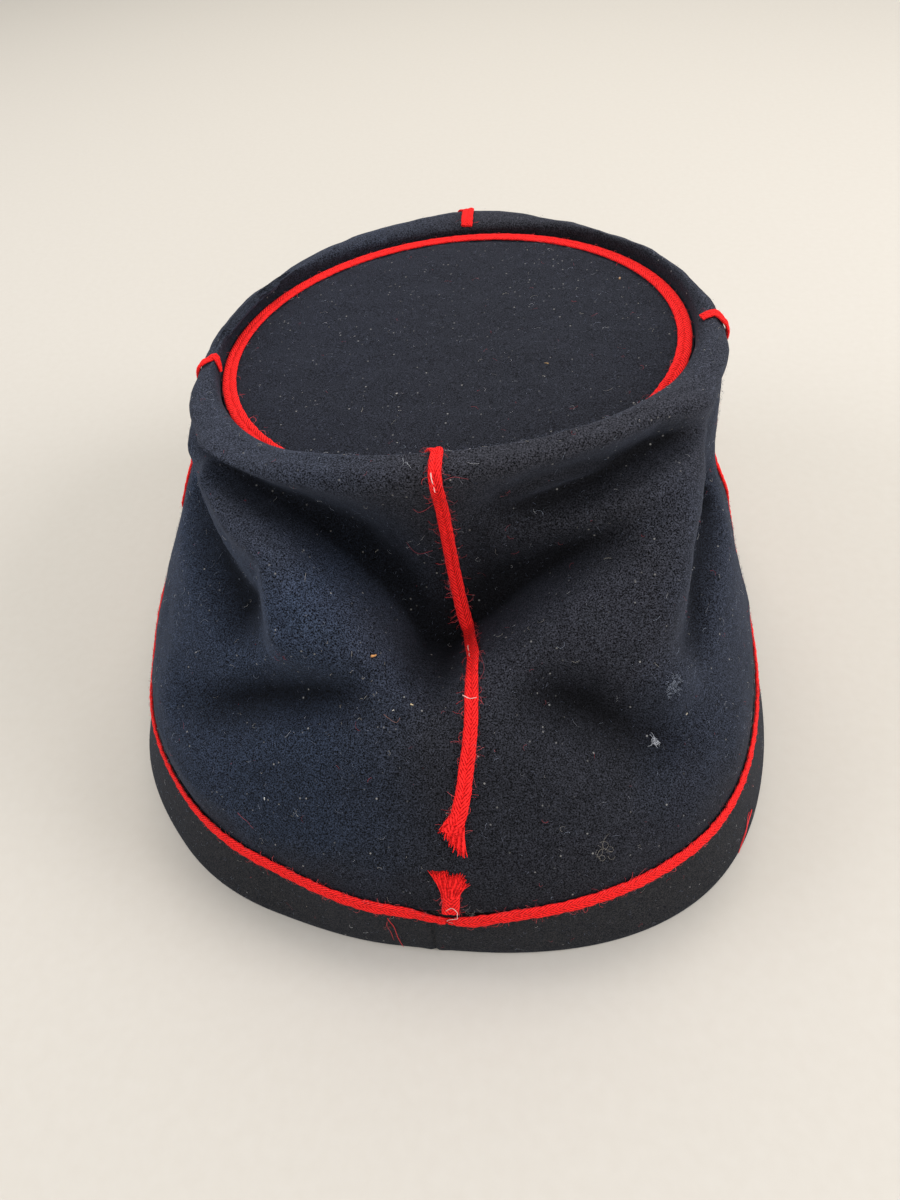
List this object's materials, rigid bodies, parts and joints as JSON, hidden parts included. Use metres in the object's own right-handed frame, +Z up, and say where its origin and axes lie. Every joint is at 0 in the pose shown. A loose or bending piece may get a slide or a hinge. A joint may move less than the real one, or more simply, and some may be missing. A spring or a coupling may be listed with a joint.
{
  "type": "kepi cap",
  "caption": "Soft wool kepi cap with a slumped back, sunk round top, scarlet braid along its edges and a plain leather peak.",
  "frame": {"origin": "middle of the bounding box at the level of the surface the cap rests on", "axes": "+Z up, -Y towards the front of the cap where the peak is, +X towards the wearer's left"},
  "size_m": [0.1742, 0.2421, 0.0952],
  "materials": {
    "band_wool": "felted wool broadcloth",
    "crown_wool": "felted wool broadcloth",
    "disc_wool": "felted wool broadcloth",
    "peak_leather": "smooth black leather",
    "ring_braid_red": "flat knitted braid",
    "base_braid_red": "flat knitted braid",
    "back_braid_red": "flat knitted braid",
    "front_braid_red": "flat knitted braid",
    "left_braid_red": "flat knitted braid",
    "right_braid_red": "flat knitted braid",
    "back_braid_stub_red": "flat knitted braid"
  },
  "bodies": {
    "root": {"band": "band_wool", "crown": "crown_wool", "top_disc": "disc_wool", "peak": "peak_leather", "top_ring_braid": "ring_braid_red", "base_braid": "base_braid_red", "back_braid": "back_braid_red", "front_braid": "front_braid_red", "left_braid": "left_braid_red", "right_braid": "right_braid_red", "back_braid_stub": "back_braid_stub_red"}
  },
  "joints": []
}
